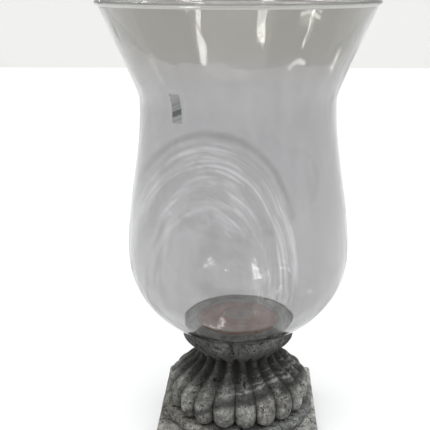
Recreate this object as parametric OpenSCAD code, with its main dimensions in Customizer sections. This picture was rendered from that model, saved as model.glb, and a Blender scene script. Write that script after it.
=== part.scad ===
// Hurricane candle lantern: a blown glass shade standing on the cup of a
// gadrooned pedestal on a round ring and a square plinth.
// Origin: centre of the footprint, on the surface the lantern stands on.
// +Z is up, and the plinth's sides are square to X and Y.

/* [Feet] */
// Radius of each felt pad
pad_r = 11; // [8:0.5:16]
// Thickness of each felt pad
pad_h = 2; // [1.5:0.5:4]
// Distance of each pad's centre from the plinth's centre lines
pad_offset = 70; // [40:1:72]

/* [Plinth] */
// Side of the square plinth
plinth_side = 178; // [176:1:220]
// Thickness of the plinth
plinth_h = 28; // [18:1:40]
// Radius of the plinth's upright corners
plinth_corner_r = 4; // [2:0.5:10]
// Width of the worn bevel along the plinth's top and bottom edges
plinth_bevel = 1.5; // [1:0.5:3]

/* [Ring] */
// Outer radius of the half-round ring on the plinth
ring_r = 84.5; // [80:0.5:87]
// Height of the ring
ring_h = 11.5; // [10:0.5:16]
// Radius of the hole through the ring
ring_hole_r = 48; // [30:1:60]
// Thickness of each bed of mortar, under and over the ring
bed_h = 1; // [0.8:0.1:2]

/* [Pedestal] */
// Number of lobes around the bowl
lobes = 20; // [16:1:24]
// Turn of the lobes about the upright axis, in degrees
lobe_turn = 7.2; // [0:0.1:18]
// Radius over the lobes at the bowl's widest level
bowl_r = 80.5; // [76:0.5:84]
// Height of the widest level above the bowl's foot
bowl_belly_h = 19; // [14:0.5:24]
// Radius over the ridges at the neck
neck_r = 45.5; // [42:0.5:52]
// Height of the neck above the bowl's foot
neck_h = 62; // [56:1:66]
// Radius of the collar's upright face
collar_r = 62.2; // [61.5:0.1:68]
// Height of the collar's upright face
collar_face_h = 11; // [8:0.5:16]
// Height of the whole pedestal casting
pedestal_h = 93.1; // [90:0.1:106]
// Depth of the grooves between the lobes at the belly
belly_groove = 7; // [3:0.5:9]
// Depth of the flutes in the neck
neck_groove = 5.5; // [2:0.5:7]

/* [Cup] */
// Radius of the cup's mouth, inside the lip
cup_r = 44.5; // [42:0.5:48]
// Depth of the cup below the collar's top
cup_depth = 14; // [9:0.5:20]
// Drop of the lip from the collar's top to the cup's mouth
lip_drop = 0.8; // [0.4:0.1:1.2]
// Thickness of the terracotta disc in the cup
disc_h = 5; // [4:0.5:7]
// Radius of the weep hole through the disc
disc_hole_r = 9; // [5:0.5:14]

/* [Glass shade] */
// Radius of the shade at its widest
bulge_r = 117.7; // [114:0.1:122]
// Height of the widest level above the collar's top
bulge_z = 85; // [84:0.5:95]
// Depth below the widest level that the round bottom would have without its foot
bottom_drop = 99.9; // [90:0.1:101]
// Radius at which the round bottom turns into the heel
heel_r = 70; // [66:0.5:76]
// Outer radius of the flat ring that the shade stands on
foot_r = 59; // [57:0.5:61]
// Height of that ring above the collar's top
foot_lift = 1.5; // [1.3:0.1:2.5]
// Rise of the push-up in the middle of the foot
push_up = 3; // [1:0.5:6]
// Radius of the ground pontil on the push-up
pontil_r = 16; // [10:1:24]
// Radius of the waist
waist_r = 100.1; // [90:0.1:108]
// Height of the waist above the collar's top
waist_z = 248; // [230:1:265]
// Outer radius of the rim
rim_r = 140; // [125:0.5:150]
// Height of the rim above the collar's top
rim_z = 345; // [320:1:365]
// How softly the waist turns into the flare
flare_round = 3; // [1:0.5:20]
// Thickness of the glass
wall = 3.2; // [2.5:0.1:5]
// Radius of the rolled bead at the rim
bead_r = 2.5; // [2:0.1:4]

/* [Label] */
// Width of the paper label, along the glass
label_w = 10.5; // [8:0.5:20]
// Height of the label
label_h = 27; // [15:1:35]
// Height of the label's middle above the collar's top
label_z = 250; // [245:1:265]
// Direction of the label about the upright axis, in degrees from +X
label_angle = -122.7; // [-180:0.1:180]
// Thickness of the paper
label_t = 0.25; // [0.2:0.05:0.5]

/* [Hidden] */

// Levels from the surface up
plinth_z = pad_h;
lower_bed_z = plinth_z + plinth_h;
ring_z = lower_bed_z + bed_h;
upper_bed_z = ring_z + ring_h;
bowl_z = upper_bed_z + bed_h;
collar_z = bowl_z + pedestal_h;
cup_floor_z = collar_z - cup_depth;

// Clearance between the shade and what it stands on, between bedded pieces and under the label
shade_gap = 0.3;
bed_gap = 0.05;
label_gap = 0.12;

// Pedestal casting: places and sizes that its outline is built from
points_per_lobe = 6;
around = lobes * points_per_lobe;
foot_core_r = bowl_r - 14.5;
collar_face_z = pedestal_h - collar_face_h;
crest_r = collar_r - 1.4;
edge_round = 1.6;
casting_wall = 13;
hollow_top_z = pedestal_h - cup_depth - casting_wall;
hollow_bottom_r = foot_core_r - 14;
hollow_top_r = neck_r - neck_groove - casting_wall;

// Numbers of rings along each stretch of the casting's outline
belly_rings = 5;
slope_rings = 10;
flare_rings = 6;

// A smooth change from a to b as t goes from 0 to 1
function ease(a, b, t) = (a + b) / 2 - (b - a) / 2 * cos(180 * t);

// Each ring of the casting is [radius over the lobes, height, groove depth].
// Under the belly the outline is a superellipse of exponent 3.
function belly_ring(t) =
    [foot_core_r + (bowl_r - foot_core_r) * pow(sin(90 * t), 2 / 3),
     bowl_belly_h * (1 - pow(cos(90 * t), 2 / 3)),
     belly_groove * (0.75 + 0.25 * t)];
// The shoulder is an ogee from the belly up to the neck
function slope_ring(t) =
    [ease(bowl_r, neck_r, t), bowl_belly_h + (neck_h - bowl_belly_h) * t,
     belly_groove + (neck_groove - belly_groove) * t];
// The collar's underside is a second ogee, where the flutes run out in tongues
function flare_ring(t) =
    [ease(neck_r, collar_r, t), neck_h + (collar_face_z - neck_h) * t,
     neck_groove * (1 - pow(t, 2))];

casting_rings = concat(
    [[hollow_top_r, hollow_top_z, 0], [hollow_bottom_r, hollow_top_z / 2, 0],
     [hollow_bottom_r, 0, 0]],
    [for (i = [0 : belly_rings]) belly_ring(i / belly_rings)],
    [for (i = [1 : slope_rings]) slope_ring(i / slope_rings)],
    [for (i = [1 : flare_rings]) flare_ring(i / flare_rings)],
    [[collar_r + 0.2, collar_face_z + collar_face_h / 2, 0],
     [collar_r, pedestal_h - edge_round, 0],
     [crest_r, pedestal_h, 0],
     [cup_r, pedestal_h - lip_drop, 0],
     [cup_r - 1, pedestal_h - cup_depth, 0]]);

// A lobe is round across and meets its neighbours in sharp grooves
function lobe_radius(ring, i) =
    let (across = 2 * (i % points_per_lobe) / points_per_lobe - 1)
    ring[0] - ring[2] * (1 - sqrt(1 - across * across));
function ring_points(ring) =
    [for (i = [0 : around - 1])
        let (angle = lobe_turn + 360 * (i / around - 0.5 / lobes), r = lobe_radius(ring, i))
        [r * cos(angle), r * sin(angle), ring[1]]];

// Skin of a body made of stacked rings, with a centre point at each end
function skin_faces(rings, n) =
    concat(
        [for (k = [0 : rings - 2], i = [0 : n - 1])
            let (a = k * n + i, b = k * n + (i + 1) % n) [a, a + n, b + n]],
        [for (k = [0 : rings - 2], i = [0 : n - 1])
            let (a = k * n + i, b = k * n + (i + 1) % n) [a, b + n, b]],
        [for (i = [0 : n - 1]) [rings * n, i, (i + 1) % n]],
        [for (i = [0 : n - 1])
            [rings * n + 1, (rings - 1) * n + (i + 1) % n, (rings - 1) * n + i]]);

// The shade's side is a long ogee from the widest level to the waist, then a hyperbola
flare_z = rim_z - bead_r;
flare_dz = flare_z - waist_z;
flare_slope = sqrt(pow(rim_r - bead_r - waist_r + flare_round, 2)
                   - pow(flare_round, 2)) / flare_dz;
function shade_r(z) =
    z < waist_z ? ease(bulge_r, waist_r, (z - bulge_z) / (waist_z - bulge_z))
    : waist_r + sqrt(pow(flare_round, 2) + pow(flare_slope * (z - waist_z), 2)) - flare_round;
// Height of the lip at a radius, above the casting's foot
function lip_z(r) = pedestal_h - lip_drop * (crest_r - r) / (crest_r - cup_r);

// Below the widest level the outline is a quarter ellipse, a rounded heel, a flat ring and a
// push-up with a flat top. inset is 0 for the outer face and the wall for the inner one.
push_steps = 8;
heel_steps = 5;
bottom_steps = 14;
heel_a = asin(heel_r / bulge_r);
push_r = foot_r - 9;
function bottom_point(a, inset) =
    [(bulge_r - inset) * sin(a), bulge_z - (bottom_drop - inset) * cos(a)];
function bend(a, b, c, t) = pow(1 - t, 2) * a + 2 * t * (1 - t) * b + pow(t, 2) * c;
function bottom_outline(inset) =
    let (z = foot_lift + inset,
         join = bottom_point(heel_a, inset),
         steep = tan(heel_a) * (bottom_drop - inset) / (bulge_r - inset),
         corner = [join[0] - (join[1] - z) / steep, z],
         start = [foot_r - inset / 3, z])
    concat(
        [[0, z + push_up]],
        [for (i = [0 : push_steps])
            [pontil_r + (push_r - pontil_r) * i / push_steps,
             z + push_up * (1 + cos(180 * i / push_steps)) / 2]],
        [for (i = [0 : heel_steps]) bend(start, corner, join, i / heel_steps)],
        [for (i = [1 : bottom_steps])
            bottom_point(heel_a + (90 - heel_a) * i / bottom_steps, inset)]);

side_steps = 60;
side_levels = [for (i = [1 : side_steps])
    bulge_z + (flare_z - bulge_z) * i / side_steps];
function side_outline(inset) = [for (z = side_levels) [shade_r(z) - inset, z]];

module pedestal_bowl() {
    color([0.40, 0.40, 0.38])
    translate([0, 0, bowl_z])
    polyhedron(
        points = concat(
            [for (ring = casting_rings) each ring_points(ring)],
            [[0, 0, hollow_top_z], [0, 0, pedestal_h - cup_depth]]),
        faces = skin_faces(len(casting_rings), around),
        convexity = 6);
}

module cup_disc() {
    disc_r = cup_r - 1.6;
    color([0.49, 0.33, 0.27])
    translate([0, 0, cup_floor_z + bed_gap])
    rotate_extrude($fn = 120)
    polygon([[disc_hole_r, 0], [disc_r, 0], [disc_r, disc_h - 1], [disc_r - 1, disc_h],
             [disc_r - 9, disc_h - 1.5], [disc_hole_r, disc_h - 1.5]]);
}

module shade_cushion() {
    inner_r = cup_r + 2;
    outer_r = foot_r - 3;
    color([0.30, 0.29, 0.27])
    translate([0, 0, collar_z])
    rotate_extrude($fn = 120)
    polygon([for (r = [inner_r, outer_r]) [r, lip_z(r) - pedestal_h + bed_gap],
             for (r = [outer_r, inner_r]) [r, foot_lift - shade_gap]]);
}

// A disc of mortar between two pieces
module mortar_bed(r, z) {
    color([0.24, 0.24, 0.23])
    translate([0, 0, z + bed_gap])
    difference() {
        cylinder(h = bed_h - 2 * bed_gap, r = r, $fn = 120);
        translate([0, 0, -1]) cylinder(h = bed_h + 2, r = ring_hole_r + 2, $fn = 120);
    }
}

module base_ring() {
    color([0.38, 0.38, 0.37])
    translate([0, 0, ring_z])
    rotate_extrude($fn = 160)
    union() {
        translate([ring_hole_r, 0]) square([ring_r - ring_h / 2 - ring_hole_r, ring_h]);
        translate([ring_r - ring_h / 2, ring_h / 2]) circle(r = ring_h / 2, $fn = 48);
    }
}

// A square with round corners
module soft_square(side) {
    straight = side - 2 * plinth_corner_r;
    square([side, straight], center = true);
    square([straight, side], center = true);
    for (x = [-1, 1], y = [-1, 1])
        translate([x, y] * straight / 2) circle(r = plinth_corner_r, $fn = 48);
}

module plinth() {
    color([0.51, 0.51, 0.49])
    translate([0, 0, plinth_z]) {
        linear_extrude(plinth_h) soft_square(plinth_side - 2 * plinth_bevel);
        translate([0, 0, plinth_bevel])
        linear_extrude(plinth_h - 2 * plinth_bevel) soft_square(plinth_side);
    }
}

module foot_pad(x, y) {
    color([0.20, 0.19, 0.18])
    translate([x * pad_offset, y * pad_offset, 0])
    cylinder(h = pad_h, r = pad_r, $fn = 48);
}

module glass_shade() {
    color([0.75, 0.78, 0.77, 0.35])
    translate([0, 0, collar_z])
    rotate_extrude($fn = 180)
    union() {
        inner = concat(bottom_outline(wall), side_outline(wall));
        polygon(concat(bottom_outline(0), side_outline(0),
                       [for (i = [len(inner) - 1 : -1 : 0]) inner[i]]));
        translate([rim_r - bead_r, flare_z]) circle(r = bead_r, $fn = 32);
    }
}

module paper_label() {
    turn = label_w / shade_r(label_z) * 180 / PI;
    levels = [for (i = [0 : 6]) label_z + label_h * (i / 6 - 0.5)];
    color("gainsboro")
    translate([0, 0, collar_z])
    rotate([0, 0, label_angle - turn / 2])
    rotate_extrude(angle = turn, $fn = 180)
    polygon(concat([for (z = levels) [shade_r(z) + label_gap, z]],
                   [for (i = [6 : -1 : 0])
                       [shade_r(levels[i]) + label_gap + label_t, levels[i]]]));
}

pedestal_bowl();
cup_disc();
shade_cushion();
mortar_bed(ring_r - 17, upper_bed_z);  // upper_mortar_bed
base_ring();
mortar_bed(ring_r - 7, lower_bed_z);  // lower_mortar_bed
plinth();
foot_pad(-1, -1);  // foot_pad_front_left
foot_pad(1, -1);  // foot_pad_front_right
foot_pad(-1, 1);  // foot_pad_back_left
foot_pad(1, 1);  // foot_pad_back_right
glass_shade();
paper_label();
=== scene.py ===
"""Hurricane candle lantern: a blown glass shade standing on a gadrooned clay pedestal."""

import math

import bpy
import numpy as np
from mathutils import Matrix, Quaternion, Vector, noise


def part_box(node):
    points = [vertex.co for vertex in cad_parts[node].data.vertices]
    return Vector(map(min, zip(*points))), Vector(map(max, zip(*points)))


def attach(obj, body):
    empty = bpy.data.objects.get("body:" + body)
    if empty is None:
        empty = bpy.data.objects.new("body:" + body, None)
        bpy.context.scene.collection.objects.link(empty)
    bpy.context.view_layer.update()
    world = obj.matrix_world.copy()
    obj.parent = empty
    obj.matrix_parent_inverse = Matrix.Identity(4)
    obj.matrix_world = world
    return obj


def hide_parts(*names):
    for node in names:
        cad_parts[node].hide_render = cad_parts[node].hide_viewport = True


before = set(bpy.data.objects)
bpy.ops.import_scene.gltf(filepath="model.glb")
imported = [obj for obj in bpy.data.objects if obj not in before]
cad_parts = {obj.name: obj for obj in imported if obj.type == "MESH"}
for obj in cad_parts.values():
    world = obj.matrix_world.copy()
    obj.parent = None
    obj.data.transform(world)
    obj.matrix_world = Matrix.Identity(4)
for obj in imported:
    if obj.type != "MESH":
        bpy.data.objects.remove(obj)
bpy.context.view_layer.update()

# Places, from the frame. Lengths are metres.
MM = 0.001
foot_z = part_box("pedestal_bowl")[0].z
collar_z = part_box("pedestal_bowl")[1].z
rim_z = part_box("glass_shade")[1].z
rim_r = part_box("glass_shade")[1].x
ring_lo, ring_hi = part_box("base_ring")
plinth_lo, plinth_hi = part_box("plinth")
rng = np.random.default_rng(11)

# Pedestal
LOBES = 20
LOBE_TURN = math.radians(7.2)
BOWL_R = 80.5 * MM
GROOVE = 7.8 * MM
TIP_ROUND = 11 * MM
LEDGE = 1.9 * MM
BELLY_Z = foot_z + 19 * MM
NECK_R = 45.5 * MM
NECK_Z = foot_z + 62 * MM
COLLAR_R = 62.2 * MM
FACE_Z = collar_z - 11 * MM
CREST_R = 60.8 * MM
CUP_R = 44.5 * MM
LIP_DROP = 0.8 * MM
CUP_DEPTH = 14 * MM
RING_WIDTH = 36 * MM
BED_HOLE = 50 * MM

# Glass shade, with heights above the collar's top
BULGE_R = 117.7 * MM
BULGE_H = 85 * MM
BOTTOM_DROP = 99.9 * MM
HEEL_R = 70 * MM
FOOT_R = 59 * MM
FOOT_LIFT = 1.5 * MM
PUSH_UP = 3 * MM
PONTIL_R = 16 * MM
WAIST_R = 100.1 * MM
WAIST_H = 248 * MM
FLARE_ROUND = 3 * MM
WALL = 3.2 * MM
BEAD_R = 2.5 * MM


# ---------------------------------------------------------------- mesh tools

def ease(a, b, t):
    """A smooth change from a to b as t goes from 0 to 1."""
    return (a + b) / 2 - (b - a) / 2 * np.cos(np.pi * t)


def step(low, high, x):
    """0 below low, 1 above high, smooth between."""
    t = np.clip((x - low) / (high - low), 0, 1)
    return t * t * (3 - 2 * t)


def bumps(points, size, seed, octaves=3):
    """Fractal noise of about -1 to 1 at each point, with features of that size."""
    shift = Vector((seed * 7.3, seed * 3.1, seed * 5.7))
    flat = points.reshape(-1, 3) / size
    values = [noise.fractal(Vector(p) + shift, 1.0, 2.0, octaves) for p in flat.tolist()]
    return np.array(values).reshape(points.shape[:-1])


def turned(radius, height, angles):
    """Points of rings about the Z axis. radius and height are (rings, around) arrays."""
    radius, height = np.broadcast_arrays(radius, height)
    return np.stack([radius * np.cos(angles), radius * np.sin(angles), height], -1)


def skin(name, points, material, loop=False):
    """A closed piece from a (rings, around, 3) array. The end rings close on a centre point,
    or with loop the last ring joins the first."""
    rings, around = points.shape[:2]
    index = np.arange(rings * around).reshape(rings, around)
    low = index if loop else index[:-1]
    high = np.roll(index, -1, 0) if loop else index[1:]
    quads = np.stack([low, np.roll(low, -1, 1), np.roll(high, -1, 1), high], -1)
    vertices = points.reshape(-1, 3).tolist()
    faces = quads.reshape(-1, 4).tolist()
    if not loop:
        count = len(vertices)
        vertices += [points[0].mean(0).tolist(), points[-1].mean(0).tolist()]
        first, last = index[0].tolist(), index[-1].tolist()
        faces += [[count, b, a] for a, b in zip(first, first[1:] + first[:1])]
        faces += [[count + 1, a, b] for a, b in zip(last, last[1:] + last[:1])]
    return solid(name, vertices, faces, material)


def solid(name, vertices, faces, material):
    """A smooth-shaded mesh object in the scene."""
    mesh = bpy.data.meshes.new(name)
    mesh.from_pydata(vertices, [], faces)
    mesh.polygons.foreach_set("use_smooth", [True] * len(faces))
    mesh.materials.append(material)
    piece = bpy.data.objects.new(name, mesh)
    bpy.context.scene.collection.objects.link(piece)
    return piece


def paint(piece, name, values):
    """Writes a per-vertex number that the piece's material reads by name. The centre points
    of the ends take the last value."""
    layer = piece.data.attributes.new(name, "FLOAT", "POINT")
    data = np.full(len(piece.data.vertices), values.ravel()[-1], np.float32)
    data[: values.size] = values.ravel()
    layer.data.foreach_set("value", data)


def place(piece, body, slot, *nodes):
    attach(piece, body)
    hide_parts(*nodes)


# ------------------------------------------------------------ material tools

def new_material(name):
    material = bpy.data.materials.new(name)
    material.use_nodes = True
    return material, material.node_tree, material.node_tree.nodes["Principled BSDF"]


def feed(tree, socket, value):
    """Sets a socket to a number or a colour, or links it to another node's output."""
    if isinstance(value, bpy.types.NodeSocket):
        tree.links.new(value, socket)
    elif isinstance(value, tuple) and len(value) < len(getattr(socket, "default_value", value)):
        socket.default_value = (*value, 1)
    else:
        socket.default_value = value


def add(tree, kind, settings=None, **inputs):
    """A node with its settings and inputs. An input is named, or i0, i1 by its place."""
    node = tree.nodes.new("ShaderNode" + kind)
    for key, value in (settings or {}).items():
        setattr(node, key, value)
    for key, value in inputs.items():
        by_place = key[0] == "i" and key[1:].isdigit()
        feed(tree, node.inputs[int(key[1:])] if by_place else node.inputs[key.replace("_", " ")],
             value)
    return node


def place_of(tree):
    """Where a point is in the row frame, in metres."""
    return add(tree, "TexCoord").outputs["Object"]


def apart(tree, vector):
    return add(tree, "SeparateXYZ", Vector=vector).outputs


def scaled(tree, vector, x, y, z):
    return add(tree, "VectorMath", {"operation": "MULTIPLY"}, i0=vector, i1=(x, y, z)).outputs[0]


def calc(tree, operation, a, b=0.0):
    return add(tree, "Math", {"operation": operation}, i0=a, i1=b).outputs[0]


def times(tree, first, *rest):
    for factor in rest:
        first = calc(tree, "MULTIPLY", first, factor)
    return first


def span(tree, a, b):
    """The long side over two sides at a right angle."""
    return calc(tree, "SQRT", calc(tree, "ADD", times(tree, a, a), times(tree, b, b)))


def slope(tree, value, low, high):
    """0 below low, 1 above high, smooth between. With low above high it falls instead."""
    start, end = (0.0, 1.0) if low < high else (1.0, 0.0)
    low, high = min(low, high), max(low, high)
    return add(tree, "MapRange", {"interpolation_type": "SMOOTHSTEP"}, i0=value, i1=low, i2=high,
               i3=start, i4=end).outputs[0]


def stripe(tree, value, middle, half_width):
    """1 at middle, falling to 0 at half_width away."""
    away = calc(tree, "ABSOLUTE", calc(tree, "SUBTRACT", value, middle))
    return slope(tree, away, half_width, 0.0)


def cloud(tree, vector, size, detail=4.0, roughness=0.55, distortion=0.0):
    """Noise of 0 to 1 with features of that size in metres."""
    return add(tree, "TexNoise", Vector=vector, Scale=1 / size, Detail=detail,
               Roughness=roughness, Distortion=distortion).outputs["Fac"]


def wander(tree, vector, size, reach, detail=2.0):
    """Noise of about -reach to reach."""
    return calc(tree, "MULTIPLY", calc(tree, "SUBTRACT", cloud(tree, vector, size, detail), 0.5),
                3.0 * reach)


def cells(tree, vector, size, feature="F1"):
    """Distance to the nearest cell centre or cell edge, in cells of that size."""
    return add(tree, "TexVoronoi", {"feature": feature}, Vector=vector,
               Scale=1 / size).outputs["Distance"]


def ramp(tree, value, *stops):
    """A number mapped through (position, number) or (position, colour) stops."""
    node = tree.nodes.new("ShaderNodeValToRGB")
    elements = node.color_ramp.elements
    while len(elements) < len(stops):
        elements.new(0.5)
    for element, (position, shade) in zip(elements, stops):
        element.position = position
        colour = (shade, shade, shade) if isinstance(shade, (int, float)) else shade
        element.color = (*colour, 1)
    tree.links.new(value, node.inputs["Fac"])
    return node.outputs["Color"]


def graded(tree, value, *stops):
    """A ramp whose stops lie at lengths in millimetres rather than from 0 to 1."""
    low, high = stops[0][0], stops[-1][0]
    share = calc(tree, "DIVIDE", calc(tree, "SUBTRACT", value, low * MM), (high - low) * MM)
    return ramp(tree, share, *[((at - low) / (high - low), shade) for at, shade in stops])


def blend(tree, amount, a, b, kind="MIX"):
    """Colour a changed to b by amount."""
    node = add(tree, "Mix", {"data_type": "RGBA", "blend_type": kind})
    feed(tree, node.inputs["Factor"], amount)
    feed(tree, node.inputs[6], a)
    feed(tree, node.inputs[7], b)
    return node.outputs[2]


def tinted(tree, colour, tint, amount=1.0):
    """A colour multiplied by another, as far as amount says."""
    return blend(tree, amount, colour, tint, "MULTIPLY")


def painted(tree, name):
    """The number that paint() wrote at each vertex."""
    return add(tree, "Attribute", {"attribute_name": name}).outputs["Fac"]


def relief(tree, height, depth, normal=None):
    """A bump whose height of 1 stands for depth metres."""
    inputs = {"Height": height, "Distance": depth, "Strength": 1.0}
    if normal is not None:
        inputs["Normal"] = normal
    return add(tree, "Bump", **inputs).outputs["Normal"]


# ------------------------------------------------------------------ materials

def weathered(tree, where, dark, mid, light, specks=0.5, cracked=0.58):
    """Weathered clay's colour, with its grain and its dark marks: patches, specks, pits and
    short cracks."""
    patches = cloud(tree, where, 0.020, 6, 0.66)
    colour = ramp(tree, patches, (0.36, dark), (0.50, mid), (0.64, light))
    grain = cloud(tree, where, 0.0015, 3, 0.65)
    colour = tinted(tree, colour, ramp(tree, grain, (0.32, 0.52), (0.5, 1.0), (0.68, 1.42)))
    blotches = cloud(tree, where, 0.0052, 4, 0.7)
    colour = tinted(tree, colour,
                    ramp(tree, blotches, (0.36, 0.50), (0.52, 1.0), (0.68, 1.28)))
    pits = times(tree, slope(tree, cells(tree, where, 0.0040), 0.26, 0.14),
                 slope(tree, cloud(tree, where, 0.010, 2), 0.52, 0.57))
    dots = times(tree, slope(tree, cells(tree, where, 0.0021), 0.26, 0.12),
                 slope(tree, cloud(tree, where, 0.006, 3), 1 - specks, 1 - specks + 0.08))
    warped = add(tree, "VectorMath", {"operation": "ADD"}, i0=where, i1=scaled(
        tree, add(tree, "TexNoise", Vector=where, Scale=170.0).outputs["Color"],
        0.008, 0.008, 0.008)).outputs[0]
    cracks = times(tree, slope(tree, cells(tree, warped, 0.0085, "DISTANCE_TO_EDGE"), 0.10, 0.04),
                   slope(tree, cloud(tree, where, 0.0065, 2), cracked, cracked + 0.04))
    marks = calc(tree, "MAXIMUM", calc(tree, "MAXIMUM", pits, cracks), times(tree, dots, 0.7))
    colour = blend(tree, marks, colour, (0.014, 0.014, 0.013))
    return colour, grain, marks


def finish_clay(tree, shader, where, colour, grain, marks):
    """Links a clay's colour, roughness and relief."""
    tree.links.new(colour, shader.inputs["Base Color"])
    tree.links.new(ramp(tree, grain, (0.3, 0.96), (0.7, 0.72)), shader.inputs["Roughness"])
    shader.inputs["Specular IOR Level"].default_value = 0.32
    normal = relief(tree, cloud(tree, where, 0.006, 5, 0.65), 0.0010)
    normal = relief(tree, grain, 0.00035, normal)
    normal = relief(tree, calc(tree, "SUBTRACT", 1.0, marks), 0.0008, normal)
    tree.links.new(normal, shader.inputs["Normal"])


def casting_clay():
    """The casting's grey clay, with tide marks, chalk lines, painted shade in its creases and under
    its overhangs, a painted highlight on its ridges, and a bare cup whose red clay is painted
    brighter as light.
    """
    material, tree, shader = new_material("aged_clay")
    where = place_of(tree)
    x, y, z = apart(tree, where)
    colour, grain, marks = weathered(
        tree, where, (0.095, 0.093, 0.082), (0.165, 0.164, 0.148), (0.250, 0.250, 0.230))
    hollow = painted(tree, "hollow")
    # height above the collar's top with a wander, and a tide that rises to the right as far as
    # the turn and sags on the left of the bulbs
    level = calc(tree, "ADD", calc(tree, "SUBTRACT", z, collar_z),
                 calc(tree, "ADD", wander(tree, where, 0.016, 2.0 * MM),
                      wander(tree, where, 0.0045, 0.6 * MM)))
    lean = calc(tree, "SUBTRACT", times(tree, x, 0.13), times(
        tree, calc(tree, "MAXIMUM", calc(tree, "SUBTRACT", x, 38 * MM), 0.0), 0.25))
    tide = calc(tree, "SUBTRACT", level, lean)
    sag = times(tree, calc(tree, "MAXIMUM", calc(tree, "SUBTRACT", -20 * MM, x), 0.0), 0.45)
    low_tide = calc(tree, "ADD", tide, sag)
    stained = graded(tree, tide, (-93, 0.78), (-85, 1.12), (-66, 1.15), (-62, 0.95), (-56, 0.92),
                     (-52, 0.84), (-49.5, 0.50), (-47, 0.40), (-43, 0.34), (-37, 0.26), (-30, 0.24))
    cleaner = graded(tree, level, (-31, 0.95), (-22, 1.05), (-14, 1.35), (-10, 1.8), (0, 2.7))
    colour = tinted(tree, colour, stained)
    colour = tinted(tree, colour, cleaner)
    # painted highlight on the ridge crests and painted shade down their sides, in the fluted part
    crest_light_and_side_shade = ramp(tree, hollow, (0.0, 1.22), (0.25, 0.95), (0.6, 0.7))
    fluted = times(tree, slope(tree, tide, -62 * MM, -50 * MM),
                   slope(tree, level, -14 * MM, -22 * MM))
    colour = tinted(tree, colour, crest_light_and_side_shade, fluted)
    pale = calc(tree, "ADD", times(tree, slope(tree, x, -25 * MM, -45 * MM),
                                   stripe(tree, tide, -53 * MM, 9 * MM)),
                times(tree, slope(tree, x, 5 * MM, 30 * MM), 0.6,
                      slope(tree, tide, -63 * MM, -68 * MM)))
    colour = tinted(tree, colour, ramp(tree, pale, (0, 1.0), (1, 1.5)))
    damp = times(tree, slope(tree, x, -15 * MM, 40 * MM), slope(tree, tide, -61 * MM, -57 * MM),
                 slope(tree, level, -10 * MM, -16 * MM))
    colour = blend(tree, times(tree, damp, 0.55), colour, (0.020, 0.020, 0.018))
    # a dark band above the bulbs along the sagging tide: part stain, part painted shade in the
    # recess under the ledge
    stain_and_shade_band = times(tree, stripe(tree, low_tide, -63.0 * MM, 6.5 * MM),
                 slope(tree, cloud(tree, where, 0.014, 3), 0.22, 0.50))
    colour = blend(tree, times(tree, stain_and_shade_band, 0.88), colour, (0.026, 0.026, 0.023))
    under_band = times(tree, slope(tree, x, -18 * MM, -30 * MM), slope(tree, low_tide, -55 * MM,
                                                                      -62 * MM))
    colour = blend(tree, times(tree, under_band, 0.35), colour, (0.040, 0.039, 0.034))
    settled = calc(tree, "ADD", tide, times(tree, hollow, 2 * MM))
    broken = slope(tree, cloud(tree, where, 0.010, 3), 0.34, 0.54)
    chalk = times(tree, stripe(tree, settled, -56.0 * MM, 1.7 * MM), broken,
                  ramp(tree, slope(tree, x, -38 * MM, 12 * MM), (0, 0.05), (1, 0.80)))
    for middle, strength in ((-52.4 * MM, 0.46), (-46.5 * MM, 0.32)):
        line = times(tree, stripe(tree, settled, middle, 1.2 * MM), broken, strength,
                     slope(tree, x, 4 * MM, 18 * MM))
        chalk = calc(tree, "MAXIMUM", chalk, line)
    colour = blend(tree, chalk, colour, (0.36, 0.36, 0.35))
    # painted shade: darkest in the creases, the pits and under the overhangs
    colour = blend(tree, times(tree, hollow, 0.94), colour, (0.014, 0.013, 0.010))
    radius = span(tree, x, y)
    lip = times(tree, slope(tree, radius, 60.5 * MM, 59.0 * MM),
                slope(tree, z, collar_z - 4 * MM, collar_z - 1.5 * MM))
    chalky = ramp(tree, cloud(tree, where, 0.004, 4, 0.7), (0.35, (0.34, 0.34, 0.31)),
                  (0.65, (0.60, 0.60, 0.56)))
    colour = blend(tree, lip, colour, chalky)
    bare = painted(tree, "bare")
    worn = slope(tree, calc(tree, "ADD", bare, wander(tree, where, 0.006, 0.16, 4)), 0.45, 0.60)
    # painted light: the cup's bare clay is a brighter copy of the disc's clay, lifted against the
    # shade under the glass
    red = tinted(tree, terracotta(tree, where, grain), (1.25, 1.20, 1.15))
    colour = blend(tree, worn, colour, red)
    finish_clay(tree, shader, where, colour, grain, marks)
    return material


def terracotta(tree, where, grain):
    """Colour of bare red clay, with dust in places."""
    patches = cloud(tree, where, 0.013, 4, 0.6)
    colour = ramp(tree, patches, (0.34, (0.56, 0.19, 0.095)), (0.50, (0.64, 0.29, 0.17)),
                  (0.66, (0.62, 0.45, 0.34)))
    return tinted(tree, colour, ramp(tree, grain, (0.3, 0.6), (0.7, 1.25)), 0.6)


def bare_clay():
    material, tree, shader = new_material("bare_terracotta")
    where = place_of(tree)
    grain = cloud(tree, where, 0.0013, 3)
    tree.links.new(terracotta(tree, where, grain), shader.inputs["Base Color"])
    shader.inputs["Roughness"].default_value = 0.88
    tree.links.new(relief(tree, grain, 0.0003), shader.inputs["Normal"])
    return material


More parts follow.
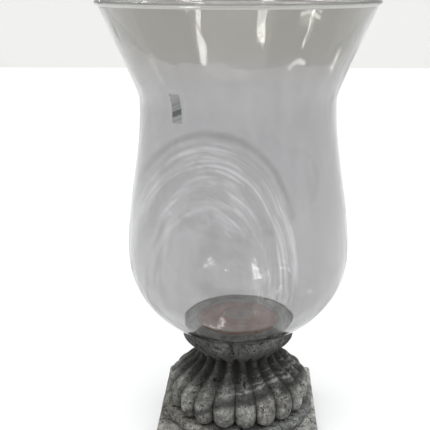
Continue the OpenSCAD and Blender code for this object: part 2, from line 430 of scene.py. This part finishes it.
def plinth_clay():
    """The plinth's paler, more speckled clay, with one hairline crack at the left edge."""
    material, tree, shader = new_material("plinth_clay")
    where = place_of(tree)
    x, y, _ = apart(tree, where)
    colour, grain, marks = weathered(
        tree, where, (0.14, 0.138, 0.124), (0.29, 0.288, 0.266), (0.42, 0.42, 0.40), 0.60)
    side = slope(tree, calc(tree, "ADD", x, wander(tree, where, 0.03, 12 * MM)),
                 -80 * MM, 70 * MM)
    tint = ramp(tree, side, (0.0, (0.74, 0.73, 0.70)), (1.0, (1.30, 1.30, 1.32)))
    colour = tinted(tree, colour, tint)
    path = calc(tree, "ADD", y, wander(tree, where, 0.006, 1.2 * MM))
    crack = times(tree, stripe(tree, path, -35 * MM, 0.55 * MM), slope(tree, x, -70 * MM, -75 * MM))
    marks = calc(tree, "MAXIMUM", marks, crack)
    colour = blend(tree, crack, colour, (0.02, 0.018, 0.015))
    finish_clay(tree, shader, where, colour, grain, marks)
    return material


def ring_clay():
    """The ring's smoother clay: bluish on the right, brown on the left, with cast seams."""
    material, tree, shader = new_material("ring_clay")
    where = place_of(tree)
    x, y, _ = apart(tree, where)
    colour, grain, marks = weathered(
        tree, where, (0.070, 0.070, 0.064), (0.135, 0.135, 0.127), (0.225, 0.225, 0.215), 0.48)
    side = slope(tree, calc(tree, "ADD", x, wander(tree, where, 0.03, 15 * MM)),
                 -50 * MM, 40 * MM)
    tint = ramp(tree, side, (0.0, (1.02, 0.98, 0.91)), (0.5, (1, 1, 0.97)),
                (1.0, (0.97, 1.0, 1.01)))
    colour = tinted(tree, colour, tint)
    turn = calc(tree, "ARCTAN2", x, calc(tree, "MULTIPLY", y, -1.0))
    for seam in (-48.6, 36.0, 158.0):
        line = stripe(tree, turn, math.radians(seam), math.radians(0.8))
        marks = calc(tree, "MAXIMUM", marks, times(tree, line, 0.8))
        colour = blend(tree, times(tree, line, 0.75), colour, (0.05, 0.035, 0.022))
    finish_clay(tree, shader, where, colour, grain, marks)
    return material


def felt(name, tint):
    """Pressed felt: matted fibres with a soft sheen and some dust."""
    material, tree, shader = new_material(name)
    where = place_of(tree)
    fibres = cloud(tree, where, 0.0007, 5, 0.7, 0.8)
    pale = tuple(min(1.0, 1.8 * c) for c in tint)
    dust = ramp(tree, cloud(tree, where, 0.005, 4, 0.7), (0.35, 0.45), (0.65, 1.2))
    colour = tinted(tree, ramp(tree, fibres, (0.3, tint), (0.7, pale)), dust)
    tree.links.new(colour, shader.inputs["Base Color"])
    shader.inputs["Roughness"].default_value = 1.0
    shader.inputs["Sheen Weight"].default_value = 0.4
    tree.links.new(relief(tree, fibres, 0.0004), shader.inputs["Normal"])
    return material


def mortar():
    """Dark sandy mortar."""
    material, tree, shader = new_material("mortar")
    where = place_of(tree)
    sand = cloud(tree, where, 0.0013, 4, 0.7)
    colour = ramp(tree, sand, (0.3, (0.020, 0.020, 0.019)), (0.7, (0.10, 0.10, 0.095)))
    tree.links.new(colour, shader.inputs["Base Color"])
    shader.inputs["Roughness"].default_value = 0.95
    tree.links.new(relief(tree, sand, 0.0005), shader.inputs["Normal"])
    return material


def arcs(tree, reach, turn, spacing, breaks, detail):
    """Noise of 0 to 1 drawn out along arcs of one reach."""
    path = add(tree, "CombineXYZ", X=times(tree, reach, 1 / spacing), Y=times(tree, turn, breaks),
               Z=0.0).outputs[0]
    return add(tree, "TexNoise", Vector=path, Scale=1.0, Detail=detail,
               Roughness=0.6).outputs["Fac"]


def blown_glass():
    """Clear grey glass with wiped arcs of film on its front and a ground pontil."""
    material, tree, shader = new_material("blown_glass")
    where = place_of(tree)
    x, y, z = apart(tree, where)
    pale_grey, mid_grey, warm_wall_tint = (0.692, 0.681, 0.689), (0.652, 0.641, 0.649), (0.625, 0.614, 0.590)
    clear, filmed, film_and_shade_grey, frosted = (
        (0.97, 0.97, 0.97), (0.93, 0.93, 0.93), (0.43, 0.43, 0.42), (0.86, 0.87, 0.87))
    # the arcs are ovals about one low point, taller than wide and leaning a little
    arcs_x, arcs_z, arcs_lean, arcs_width = -31 * MM, collar_z + 78 * MM, 0.06, 0.62
    rise = calc(tree, "SUBTRACT", z, arcs_z)
    across = calc(tree, "SUBTRACT", calc(tree, "SUBTRACT", x, arcs_x),
                  times(tree, rise, arcs_lean))
    wide = calc(tree, "DIVIDE", across, arcs_width)
    reach = calc(tree, "ADD", span(tree, wide, rise), wander(tree, where, 0.09, 5 * MM))
    turn = calc(tree, "ARCTAN2", wide, rise)
    front = slope(tree, y, -25 * MM, -50 * MM)
    inside = times(tree, slope(tree, reach, 50 * MM, 78 * MM),
                   slope(tree, reach, 146 * MM, 143 * MM), front,
                   slope(tree, calc(tree, "ABSOLUTE", turn), 2.3, 1.7))
    families = arcs(tree, reach, turn, 15 * MM, 1.3, 3.0)
    strokes = arcs(tree, reach, turn, 2.6 * MM, 1.1, 3.0)
    outer_lines = stripe(tree, reach, 138 * MM, 7 * MM)
    broad = calc(tree, "MAXIMUM", slope(tree, families, 0.38, 0.62), outer_lines)
    fresh = ramp(tree, slope(tree, reach, 60 * MM, 132 * MM), (0, 0.55), (1, 1.0))
    film = times(tree, inside, slope(tree, strokes, 0.44, 0.59), broad, fresh,
                 slope(tree, cloud(tree, where, 0.055, 2), 0.28, 0.56))
    shadow = times(tree, stripe(tree, reach, 151 * MM, 6 * MM), front,
                   slope(tree, calc(tree, "ABSOLUTE", turn), 1.25, 0.7))
    veil_and_dark_patch = times(tree, inside, slope(tree, families, 0.56, 0.42))
    # painted shade: a dark patch on the clean front glass, where the view through it is darker
    dark_patch_at = add(tree, "VectorMath", {"operation": "DISTANCE"}, i0=where,
                    i1=(-10 * MM, -112 * MM, collar_z + 104 * MM)).outputs["Value"]
    painted_dark_patch = slope(tree, calc(tree, "ADD", dark_patch_at, wander(tree, where, 0.03, 7 * MM)),
                   46 * MM, 18 * MM)
    veil_and_dark_patch = calc(tree, "MAXIMUM", veil_and_dark_patch, times(tree, painted_dark_patch, 2.3))
    # grey tint of the walls: dripping; warmer and darker at the flare, painted in to stand for the
    # warm wall seen through it; clear at the foot and front heel
    drips = cloud(tree, scaled(tree, where, 1, 1, 0.12), 0.016, 3)
    tint = ramp(tree, drips, (0.35, mid_grey), (0.65, pale_grey))
    flare = slope(tree, z, collar_z + 262 * MM, collar_z + 300 * MM)
    tint = blend(tree, flare, tint, warm_wall_tint)
    foot = slope(tree, span(tree, x, y), 60 * MM, 54 * MM)
    front_heel = times(tree, slope(tree, y, 0.0, -30 * MM),
                       slope(tree, z, collar_z + 28 * MM, collar_z + 8 * MM))
    tint = blend(tree, calc(tree, "MAXIMUM", foot, front_heel), tint, clear)
    colour = blend(tree, times(tree, film, 0.80), tint, filmed)
    # the dark stripe, the film's veil and the painted dark patch all darken the glass towards one
    # grey
    film_and_shade = calc(tree, "MAXIMUM", times(tree, shadow, 0.6), times(tree, veil_and_dark_patch, 0.24))
    colour = blend(tree, film_and_shade, colour, film_and_shade_grey)
    ground = painted(tree, "ground")
    colour = blend(tree, ground, colour, frosted)
    tree.links.new(colour, shader.inputs["Base Color"])
    solid_part = calc(tree, "MAXIMUM", times(tree, film, 0.08), times(tree, ground, 0.45))
    tree.links.new(calc(tree, "SUBTRACT", 1.0, solid_part), shader.inputs["Transmission Weight"])
    tree.links.new(times(tree, ground, 0.5), shader.inputs["Roughness"])
    shader.inputs["IOR"].default_value = 1.5
    ripples = cloud(tree, scaled(tree, where, 1, 1, 0.35), 0.045, 2)
    tree.links.new(relief(tree, ripples, 0.0006), shader.inputs["Normal"])
    depth = add(tree, "VolumeAbsorption", Color=(0.68, 0.70, 0.685), Density=120.0)
    tree.links.new(depth.outputs["Volume"], tree.nodes["Material Output"].inputs["Volume"])
    return material


def label_paper():
    """Aged grey paper with plain dark blocks, printed askew, and no lettering."""
    material, tree, shader = new_material("label_paper")
    lo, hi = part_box("paper_label")
    where = place_of(tree)
    x, _, z = apart(tree, where)
    row_rise = 0.5
    askew = times(tree, calc(tree, "SUBTRACT", x, (lo.x + hi.x) / 2), row_rise)
    height = calc(tree, "ADD", calc(tree, "SUBTRACT", z, askew),
                  wander(tree, where, 0.0035, 0.9 * MM))
    up = calc(tree, "DIVIDE", calc(tree, "SUBTRACT", height, lo.z), hi.z - lo.z)
    paper, bare_paper = (0.23, 0.24, 0.235), (0.28, 0.285, 0.28)
    print_ink, pale_ink = (0.070, 0.072, 0.073), (0.13, 0.135, 0.135)
    colour = ramp(tree, up, (0.0, paper), (0.05, paper), (0.08, pale_ink), (0.12, paper),
                  (0.20, paper), (0.25, print_ink), (0.42, print_ink), (0.46, paper),
                  (0.53, pale_ink), (0.57, paper), (0.63, pale_ink), (0.69, (0.19, 0.19, 0.18)),
                  (1.0, (0.26, 0.26, 0.245)))
    fibres = cloud(tree, where, 0.0010, 3)
    colour = tinted(tree, colour, ramp(tree, fibres, (0.3, 0.7), (0.7, 1.15)), 0.5)
    worn_off = slope(tree, cloud(tree, where, 0.0028, 3, 0.6), 0.50, 0.66)
    colour = blend(tree, times(tree, worn_off, 0.25), colour, bare_paper)
    tree.links.new(colour, shader.inputs["Base Color"])
    shader.inputs["Roughness"].default_value = 0.55
    tree.links.new(relief(tree, fibres, 0.00004), shader.inputs["Normal"])
    return material


# --------------------------------------------------------------------- pieces

def column(values):
    return np.array(values)[:, None]


def casting():
    """The pedestal casting: a foot recessed underneath, gadroons, fluted neck, tongued collar and
    cup, with painted shade in its creases and under its overhangs.
    """
    steps = 28
    across = np.sin(np.pi / 2 * np.linspace(-1, 1, steps, endpoint=False))
    jitter = rng.uniform(-0.7, 0.7, LOBES)
    edges = LOBE_TURN + np.radians(360 / LOBES * (np.arange(LOBES) - 0.5) + jitter)
    ends = np.append(edges[1:], edges[0] + 2 * np.pi)
    middle, half = (edges + ends) / 2, (ends - edges) / 2
    angles = (middle[:, None] + half[:, None] * across).ravel()
    u = np.tile(across, LOBES)
    plump = np.repeat(rng.uniform(-0.5, 0.3, LOBES), steps) * MM
    tip_lift = np.repeat(rng.uniform(0, 1.2, LOBES), steps) * MM
    round_edge = 1 - np.sqrt(1 - u * u)
    soft_edge = (1 - np.cos(np.pi * u)) / 2
    flute = soft_edge ** 1.4
    radii, heights, crease_shades, bares = [], [], [], []

    def stretch(radius, height, hollow, bare=0.0):
        for rows, part in ((radii, radius), (heights, height), (crease_shades, hollow), (bares, bare)):
            rows.append(part + 0 * u + 0 * height)

    # under the foot: a shallow recess, out of sight, painted in full shade
    stretch(column([20, 40, 52, 52]) * MM, foot_z + column([50, 48, 25, 0]) * MM, 1.0)
    # foot to belly, where each lobe ends in a full round tip
    t = column(np.linspace(0, 1, 26))
    core = BOWL_R - TIP_ROUND
    crest = core + (BOWL_R - core) * np.sin(np.pi / 2 * t) ** 0.55
    lift = (TIP_ROUND * round_edge + tip_lift) * step(-0.05, 0.20, t) * (1 - t)
    # painted shade in the grooves between the tips and under the bulbs near the foot
    stretch(crest + plump * t - GROOVE * round_edge,
            foot_z + (BELLY_Z - foot_z) * (1 - np.cos(np.pi / 2 * t) ** 0.62) + lift,
            np.clip(round_edge * 1.15 + step(0.22, 0.0, t), 0, 1))
    # shoulder, from the belly up to the neck, with an arched ledge over each tip
    t = column(np.linspace(0, 1, 53)[1:])
    neck_share = step(0.18, 0.72, t)
    groove = (1 - neck_share) * round_edge + neck_share * flute
    depth = GROOVE - 1.8 * MM * (step(0, 0.3, t) - step(0.35, 0.9, t))
    z = BELLY_Z + (NECK_Z - BELLY_Z) * t
    above = z - (collar_z - 62.5 * MM - 5 * MM * round_edge)
    ledge = LEDGE * step(-1.2 * MM, 1.2 * MM, above) * step(16 * MM, 0, above) * (1 - u ** 4)
    # painted shade in the grooves, a little weaker at mid-shoulder
    stretch(ease(BOWL_R, NECK_R, t) + plump * (1 - t) - depth * groove - ledge, z,
            groove ** 0.8 * (0.95 - 0.15 * np.sin(np.pi * t) ** 2))
    # collar's underside, where a tongue hangs over each ridge
    t = column(np.linspace(0, 1, 38)[1:])
    z = NECK_Z + (FACE_Z - NECK_Z) * t
    tip = 1 - np.sqrt(1 - np.minimum(np.abs(u) / 0.8, 1) ** 2)
    tongue = NECK_Z + (1 + 6 * tip + 5 * step(0.75, 0.98, np.abs(u))) * MM
    over = step(-0.8 * MM, 0.8 * MM, z - tongue)
    under = NECK_R - 0.2 * MM + 5.2 * MM * t ** 1.5 - 6.5 * MM * flute * step(0.42, 0.05, t)
    outer = ease(NECK_R, COLLAR_R, t) + 1.3 * MM * (1 - t)
    # painted shade under the tongues, deepest in the flutes
    stretch(under + (outer - under) * over, z, (1 - over) * (0.45 + 0.50 * flute))
    # face and rounded top edge
    t = np.linspace(0, 1, 14)[1:]
    edge = 1.5 * MM
    stretch(column(COLLAR_R + 0.2 * MM * np.sin(np.pi * t)),
            column(FACE_Z + (collar_z - edge - FACE_Z) * t), 0.0)
    a = np.linspace(0, np.pi / 2, 7)[1:]
    stretch(column(COLLAR_R - edge * (1 - np.cos(a))), column(collar_z - edge * (1 - np.sin(a))),
            0.0, 0.38)
    # lip, its worn inner edge, cup wall and cup floor
    t = np.linspace(0, 1, 14)
    stretch(column(CREST_R - 0.2 * MM + (CUP_R + 2.0 * MM - CREST_R) * t),
            column(collar_z - 0.15 * MM - (LIP_DROP - 0.15 * MM) * t), 0.0)
    a = np.linspace(0, np.pi / 2, 6)[1:]
    stretch(column(CUP_R + 1.8 * MM * (1 - np.sin(a))),
            column(collar_z - LIP_DROP - 1.5 * MM * (1 - np.cos(a))), 0.0, column(a) / 3)
    drop = np.linspace(LIP_DROP + 1.5 * MM, CUP_DEPTH, 9)[1:]
    stretch(column(CUP_R - 0.02 * drop), column(collar_z - drop), 0.0, 1.0)
    stretch(column([0.6, 0.3]) * CUP_R, column([collar_z - CUP_DEPTH] * 2), 0.0, 1.0)

    radius, height, hollow, bare = (np.concatenate(rows)
                                    for rows in (radii, heights, crease_shades, bares))
    points = turned(radius, height, angles)
    # lumpy and pitted surface, only ever inside the design's outline
    lumps = bumps(points, 16 * MM, 1) * 0.5 + bumps(points, 4 * MM, 2) * 0.30
    pitted = step(0.0, 0.3, bumps(points, 15 * MM, 6, 2))
    pits = step(0.30, 0.62, bumps(points, 3.4 * MM, 3, 2)) * pitted
    loss = (np.clip(lumps - 0.1, -0.9, 0.5) - 0.5 - 0.9 * pits) * MM
    loss *= step(CUP_R - 2 * MM, CUP_R + 2 * MM, radius)
    points[..., :2] *= (1 + loss / np.maximum(radius, 30 * MM))[..., None]
    piece = skin("pedestal_casting", points, casting_clay())
    # hollow: painted shade in the creases, the pits and under the overhangs
    paint(piece, "hollow", np.clip(hollow + 0.7 * pits, 0, 1))
    paint(piece, "bare", bare)
    place(piece, "pedestal", "aged_clay", "pedestal_bowl")


def shade_bottom(inset):
    """Outline of the shade below its widest level, as (radius, height above the collar's top):
    a pontil, a push-up, a flat ring, a rounded heel and a quarter ellipse."""
    level = FOOT_LIFT + inset
    push_r = FOOT_R - 9 * MM
    heel_a = math.asin(HEEL_R / BULGE_R)
    pontil = [(PONTIL_R * s, level + PUSH_UP) for s in (0.3, 0.6, 0.95)]
    push = [(PONTIL_R + (push_r - PONTIL_R) * t, level + PUSH_UP * (1 + math.cos(math.pi * t)) / 2)
            for t in np.linspace(0, 1, 14)]
    ellipse = [((BULGE_R - inset) * math.sin(a), BULGE_H - (BOTTOM_DROP - inset) * math.cos(a))
               for a in np.linspace(heel_a, np.pi / 2, 40)]
    join = np.array(ellipse[0])
    steep = math.tan(heel_a) * (BOTTOM_DROP - inset) / (BULGE_R - inset)
    corner = np.array([join[0] - (join[1] - level) / steep, level])
    start = np.array([FOOT_R - inset / 3, level])
    heel = [(1 - t) ** 2 * start + 2 * t * (1 - t) * corner + t * t * join
            for t in np.linspace(0, 1, 12)[:-1]]
    flat = [(start[0] - 4 * MM, level)]
    return np.array(pontil + push + flat + [tuple(p) for p in heel] + ellipse)


def shade_side(h):
    """Outer radius of the shade above its widest level."""
    flare_h = rim_z - collar_z - BEAD_R
    reach = rim_r - BEAD_R - WAIST_R + FLARE_ROUND
    flare_slope = math.sqrt(reach ** 2 - FLARE_ROUND ** 2) / (flare_h - WAIST_H)
    body = ease(BULGE_R, WAIST_R, np.clip((h - BULGE_H) / (WAIST_H - BULGE_H), 0, 1))
    rise = np.maximum(h - WAIST_H, 0)
    flare = np.sqrt(FLARE_ROUND ** 2 + (flare_slope * rise) ** 2) - FLARE_ROUND
    return body + flare


def shade():
    """The blown shade: one closed skin with an outer face, a rolled rim and an inner face."""
    around = 256
    angles = np.linspace(0, 2 * np.pi, around, endpoint=False)
    side = np.linspace(BULGE_H, rim_z - collar_z - BEAD_R, 110)[1:-1]
    bead = np.linspace(np.radians(-70), np.radians(190), 18)
    outline = np.concatenate([
        shade_bottom(0.0),
        np.stack([shade_side(side), side], 1),
        np.stack([rim_r - BEAD_R + BEAD_R * np.cos(bead) - 0.1 * MM,
                  rim_z - collar_z - BEAD_R + BEAD_R * np.sin(bead) - 0.05 * MM], 1),
        np.stack([shade_side(side) - WALL, side], 1)[::-1],
        shade_bottom(WALL)[::-1]])
    radius, height = outline[:, :1], outline[:, 1:] + collar_z
    points = turned(radius + 0 * angles, height, angles)
    # slow waves from blowing, and finer ones on the round bottom; none at the rim and pontil
    level = height - collar_z
    waves = 0.30 * bumps(points * [1, 1, 0.5], 90 * MM, 4, 2)
    inner = np.arange(len(outline)) > len(outline) // 2
    waves += 0.20 * bumps(points * [1, 1, 0.6], 34 * MM, 5, 2) * inner[:, None]
    waves += 0.07 * bumps(points, 12 * MM, 7, 2) * step(50 * MM, 15 * MM, level)
    waves *= MM * step(PONTIL_R, 2 * PONTIL_R, radius)
    waves *= step(rim_z - collar_z - 4 * MM, rim_z - collar_z - 40 * MM, level)
    along = np.gradient(outline, axis=0)
    along /= np.linalg.norm(along, axis=1, keepdims=True)
    facing = np.where(inner, -1, 1)[:, None]
    points[..., :2] *= (1 + waves * along[:, 1:] * facing / np.maximum(radius, 5 * MM))[..., None]
    points[..., 2] -= waves * along[:, :1] * facing
    piece = skin("glass_shade_blown", points, blown_glass())
    is_ground = (radius < PONTIL_R) * (np.arange(len(outline)) < len(outline) // 2)[:, None]
    paint(piece, "ground", is_ground + 0.0 * angles)
    place(piece, "shade", "clear_glass", "glass_shade")


def lathe(name, outline, material, wear=0.0, around=160, seed=1, loop=True):
    """A piece turned from a (radius, height) outline and worn inwards by noise. With loop the
    outline is closed and clear of the axis; otherwise it starts and ends near the axis."""
    angles = np.linspace(0, 2 * np.pi, around, endpoint=False)
    outline = np.array(outline)
    points = turned(outline[:, :1] + 0 * angles, outline[:, 1:] + 0 * angles, angles)
    if wear:
        away = outline - outline.mean(0)
        loss = wear * np.clip(0.55 + 0.9 * bumps(points, 9 * MM, seed), 0, 1.6)
        share = loss / np.maximum(np.linalg.norm(away, axis=1), 2 * MM)[:, None]
        points = turned(outline[:, :1] - away[:, :1] * share, outline[:, 1:] - away[:, 1:] * share,
                        angles)
    return skin(name, points, material, loop)


def rounded(corners, radius, steps=5):
    """A closed outline with round corners, from corner points in order."""
    corners = np.array(corners, float)
    out = []
    for before, here, after in zip(np.roll(corners, 1, 0), corners, np.roll(corners, -1, 0)):
        a, b = before - here, after - here
        size = min(radius, 0.45 * np.linalg.norm(a), 0.45 * np.linalg.norm(b))
        start = here + a / np.linalg.norm(a) * size
        end = here + b / np.linalg.norm(b) * size
        for t in np.linspace(0, 1, steps):
            out.append((1 - t) ** 2 * start + 2 * t * (1 - t) * here + t * t * end)
    return out


def densified(outline, spacing):
    """The closed outline with extra points, no two further apart than spacing."""
    out = []
    for a, b in zip(outline, outline[1:] + outline[:1]):
        count = max(1, int(np.ceil(np.linalg.norm(np.array(b) - a) / spacing)))
        out += [a + (np.array(b) - a) * i / count for i in range(count)]
    return out


def grid_box(size, spacing):
    """Vertices, from -1 to 1, and faces of a box whose six sides are grids."""
    counts = [int(2 * s / spacing) + 1 for s in size]
    vertices, faces, index = [], [], {}

    def vertex(p):
        key = tuple(np.round(p, 7))
        if key not in index:
            index[key] = len(vertices)
            vertices.append(key)
        return index[key]

    for axis in range(3):
        for sign in (-1, 1):
            one, two = (axis + 1) % 3, (axis + 2) % 3
            ids = []
            for a in np.linspace(-1, 1, counts[one]):
                row = []
                for b in np.linspace(-1, 1, counts[two]):
                    p = [0.0, 0.0, 0.0]
                    p[axis], p[one], p[two] = sign, a, b
                    row.append(vertex(p))
                ids.append(row)
            for i in range(counts[one] - 1):
                for j in range(counts[two] - 1):
                    face = [ids[i][j], ids[i + 1][j], ids[i + 1][j + 1], ids[i][j + 1]]
                    faces.append(face if sign > 0 else face[::-1])
    return np.array(vertices), faces


def plinth():
    """The square slab: a rounded block whose edges and faces are worn and chipped."""
    size = np.array(plinth_hi - plinth_lo) / 2
    corner = 4 * MM
    vertices, faces = grid_box(size, 1.5 * MM)
    p = vertices * size
    core = np.clip(p, -(size - corner), size - corner)
    away = p - core
    away /= np.maximum(np.linalg.norm(away, axis=1, keepdims=True), 1e-9)
    p = core + away * corner
    edge = np.sort(np.abs(p) / size, axis=1)
    near_edge = step(0.90, 1.0, edge[:, 1] * edge[:, 2])
    chips = np.clip(bumps(p, 14 * MM, 21) - 0.15, 0, 1) * near_edge * 3.0 * MM
    dents = step(0.34, 0.6, bumps(p, 4 * MM, 23, 2)) * 0.8 * MM
    wear = (0.35 + 0.35 * bumps(p, 9 * MM, 22)) * MM + chips + dents
    p -= away * np.clip(wear, 0.02 * MM, 3 * MM)[:, None]
    p += np.array(plinth_hi + plinth_lo) / 2
    piece = solid("plinth_slab", p.tolist(), faces, plinth_clay())
    place(piece, "pedestal", "plinth_clay", "plinth")


def base_ring():
    """The half-round ring between the plinth and the lobes."""
    radius = (ring_hi.z - ring_lo.z) / 2
    centre = np.array([ring_hi.x - radius, (ring_hi.z + ring_lo.z) / 2])
    nose = [centre + radius * np.array([math.cos(a), math.sin(a)])
            for a in np.linspace(-np.pi / 2, np.pi / 2, 22)]
    hole = ring_hi.x - RING_WIDTH
    outline = densified(nose + [np.array([hole, ring_hi.z]), np.array([hole, ring_lo.z])], 3 * MM)
    piece = lathe("base_ring_moulding", outline, ring_clay(), 0.35 * MM, 420, 31)
    place(piece, "pedestal", "aged_clay", "base_ring")


def mortar_beds():
    sand = mortar()
    for name in ("upper_mortar_bed", "lower_mortar_bed"):
        lo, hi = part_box(name)
        outline = rounded([(BED_HOLE, lo.z), (hi.x, lo.z), (hi.x, hi.z), (BED_HOLE, hi.z)],
                          0.4 * MM, 4)
        piece = lathe(name + "_sand", densified(outline, 4 * MM), sand, 0.25 * MM, 300, 41)
        place(piece, "pedestal", "mortar", name)


def cup_disc():
    """The bare disc in the cup, dished towards its weep hole."""
    lo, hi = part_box("cup_disc")
    hole, dish = 9 * MM, 1.6 * MM
    outline = rounded([(hole, lo.z), (hi.x, lo.z), (hi.x, hi.z), (hi.x - 3 * MM, hi.z - 0.2 * MM),
                       (hi.x - 10 * MM, hi.z - dish), (hole, hi.z - dish)], 0.8 * MM)
    piece = lathe("cup_disc_bare", densified(outline, 2 * MM), bare_clay(), 0.25 * MM, 200, 42)
    place(piece, "pedestal", "terracotta", "cup_disc")


def felt_parts():
    """The felt ring that the shade stands on, and the four felt pads under the plinth."""
    lo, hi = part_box("shade_cushion")
    inner, gap = CUP_R + 2 * MM, 0.1 * MM
    outline = rounded([(inner, collar_z - LIP_DROP + gap), (hi.x, collar_z - 0.2 * MM),
                       (hi.x, hi.z), (inner, hi.z)], 0.5 * MM, 4)
    piece = lathe("shade_cushion_ring", densified(outline, 1.5 * MM),
                  felt("cushion_felt", (0.50, 0.49, 0.46)), 0.15 * MM, 220, 43)
    place(piece, "pedestal", "cushion_felt", "shade_cushion")
    dark = felt("pad_felt", (0.035, 0.033, 0.030))
    for name in ("front_left", "front_right", "back_left", "back_right"):
        lo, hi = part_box("foot_pad_" + name)
        r, thick = (hi.x - lo.x) / 2, hi.z - lo.z
        edge = [(r - 0.5 * MM * (1 - math.cos(a)), thick / 2 + (thick / 2) * math.sin(a))
                for a in np.linspace(-np.pi / 2, np.pi / 2, 9)]
        flat = [r * s for s in (0.25, 0.5, 0.75, 0.9)]
        outline = [(s, 0) for s in flat] + edge + [(s, thick) for s in flat[::-1]]
        pad = lathe("felt_pad_" + name, outline, dark, 0.10 * MM, 96, 44, loop=False)
        pad.location = ((lo.x + hi.x) / 2, (lo.y + hi.y) / 2, lo.z)
        place(pad, "pedestal", "pad_felt", "foot_pad_" + name)


def label():
    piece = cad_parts["paper_label"]
    piece.data.materials.clear()
    piece.data.materials.append(label_paper())


# ---------------------------------------------------------------------- scene

def camera():
    data = bpy.data.cameras.new("camera")
    data.lens = 60.95
    data.sensor_width = 36
    data.shift_x = -0.054
    eye = bpy.data.objects.new("camera", data)
    bpy.context.scene.collection.objects.link(eye)
    distance, height, turn, tilt = 0.745, 0.356, math.radians(1.3), 17.4
    eye.location = (distance * math.sin(turn), -distance * math.cos(turn), collar_z + height)
    eye.rotation_euler = (math.radians(90 - tilt), 0, turn)
    bpy.context.scene.camera = eye


def stage():
    """A pale floor, and a slightly warmer wall far behind."""
    back, width, front, top = 3.96, 7.0, -4.0, 4.0
    for name, profile, tint in (
            ("floor", [(front, 0.0), (back, 0.0)], (0.90, 0.90, 0.90, 1)),
            ("wall", [(back, 0.0), (back, top)], (0.80, 0.795, 0.77, 1))):
        vertices = [(x, y, z) for y, z in profile for x in (-width, width)]
        material, tree, shader = new_material(name + "_pale")
        shader.inputs["Base Color"].default_value = tint
        shader.inputs["Roughness"].default_value = 0.9
        solid(name, vertices, [(0, 1, 3, 2)], material)


def window(name, azimuth, elevation, roll, panes, pane, brightness, distance=1.7):
    """A small window or tube of light, seen from the lantern in a direction. azimuth is from -Y
    towards +X. panes are (across, up), pane is one pane's size and roll turns them."""
    azimuth, elevation = math.radians(azimuth), math.radians(elevation)
    towards = Vector((math.sin(azimuth) * math.cos(elevation),
                      -math.cos(azimuth) * math.cos(elevation), math.sin(elevation)))
    turn = towards.to_track_quat("Z", "Y") @ Quaternion((0, 0, 1), math.radians(roll))
    middle = Vector((0, 0, collar_z + 0.1)) + distance * towards
    bar = 0.012
    for i in range(panes[0]):
        for j in range(panes[1]):
            offset = Vector(((i - (panes[0] - 1) / 2) * (pane[0] + bar),
                             (j - (panes[1] - 1) / 2) * (pane[1] + bar), 0))
            data = bpy.data.lights.new(name, "AREA")
            data.shape = "RECTANGLE"
            data.size, data.size_y = pane
            data.energy = brightness * math.pi * pane[0] * pane[1]
            light = bpy.data.objects.new(name, data)
            bpy.context.scene.collection.objects.link(light)
            light.location = middle + turn @ offset
            light.rotation_euler = turn.to_euler()


def lights():
    world = bpy.data.worlds.new("room")
    bpy.context.scene.world = world
    world.use_nodes = True
    world.node_tree.nodes["Background"].inputs["Color"].default_value = (0.97, 0.98, 1.0, 1)
    world.node_tree.nodes["Background"].inputs["Strength"].default_value = 0.72
    data = bpy.data.lights.new("overhead", "SUN")
    data.energy = 1.45
    data.angle = math.radians(75)
    sun = bpy.data.objects.new("overhead", data)
    bpy.context.scene.collection.objects.link(sun)
    sun.rotation_euler = Vector((0.08, -0.45, 1.0)).to_track_quat("Z", "Y").to_euler()
    window("window_right", 49, 47, 0, (1, 2), (0.14, 0.12), 14)
    window("window_far_right", 57, 53, -35, (2, 2), (0.20, 0.09), 12)
    window("window_front", -28, 49, 0, (1, 1), (0.15, 0.06), 6)
    window("window_high", -40, 61, 38, (2, 3), (0.10, 0.29), 11)
    window("window_left", -86, 41, 45, (1, 3), (0.05, 0.035), 30)
    window("tube_left", -80, 37, 10, (1, 1), (0.55, 0.03), 10)
    window("tubes_left", -86, 43, 19, (1, 2), (0.55, 0.02), 9)
    window("window_back_left", -139, 21, 30, (1, 3), (0.10, 0.025), 20)
    window("tube_back_left", -120, 54, 0, (2, 1), (0.20, 0.05), 9)
    window("lamp", 29, 65, 0, (1, 1), (0.06, 0.06), 150)
    window("window_back", -170, 35.5, 0, (1, 2), (0.07, 0.08), 16)
    bpy.context.scene.view_settings.view_transform = "Standard"


camera()
stage()
lights()
casting()
shade()
plinth()
base_ring()
mortar_beds()
cup_disc()
felt_parts()
label()
